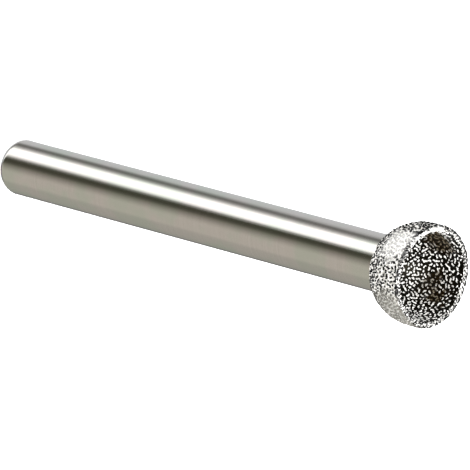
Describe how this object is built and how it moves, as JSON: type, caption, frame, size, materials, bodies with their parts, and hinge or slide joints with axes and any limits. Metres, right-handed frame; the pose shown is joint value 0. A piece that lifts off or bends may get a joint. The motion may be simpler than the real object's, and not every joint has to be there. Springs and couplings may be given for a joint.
{
  "type": "diamond grinding bit",
  "caption": "Ball-grinding bit: plain round steel shank with a thin hollow hemispherical head, coated outside, on the rim and inside with nickel-plated diamond grit.",
  "frame": {"origin": "centre of the flat rear face of the shank, on which the bit stands", "axes": "+Z along the axis of the bit, from the shank's rear face to the grinding rim"},
  "size_m": [0.0106, 0.0106, 0.0616],
  "materials": {
    "ground_steel": "ground, satin",
    "nickel_bonded_diamond": "coarse sparkling grit in plated nickel"
  },
  "bodies": {
    "root": {"steel_blank": "ground_steel", "diamond_coat": "nickel_bonded_diamond"}
  },
  "joints": []
}
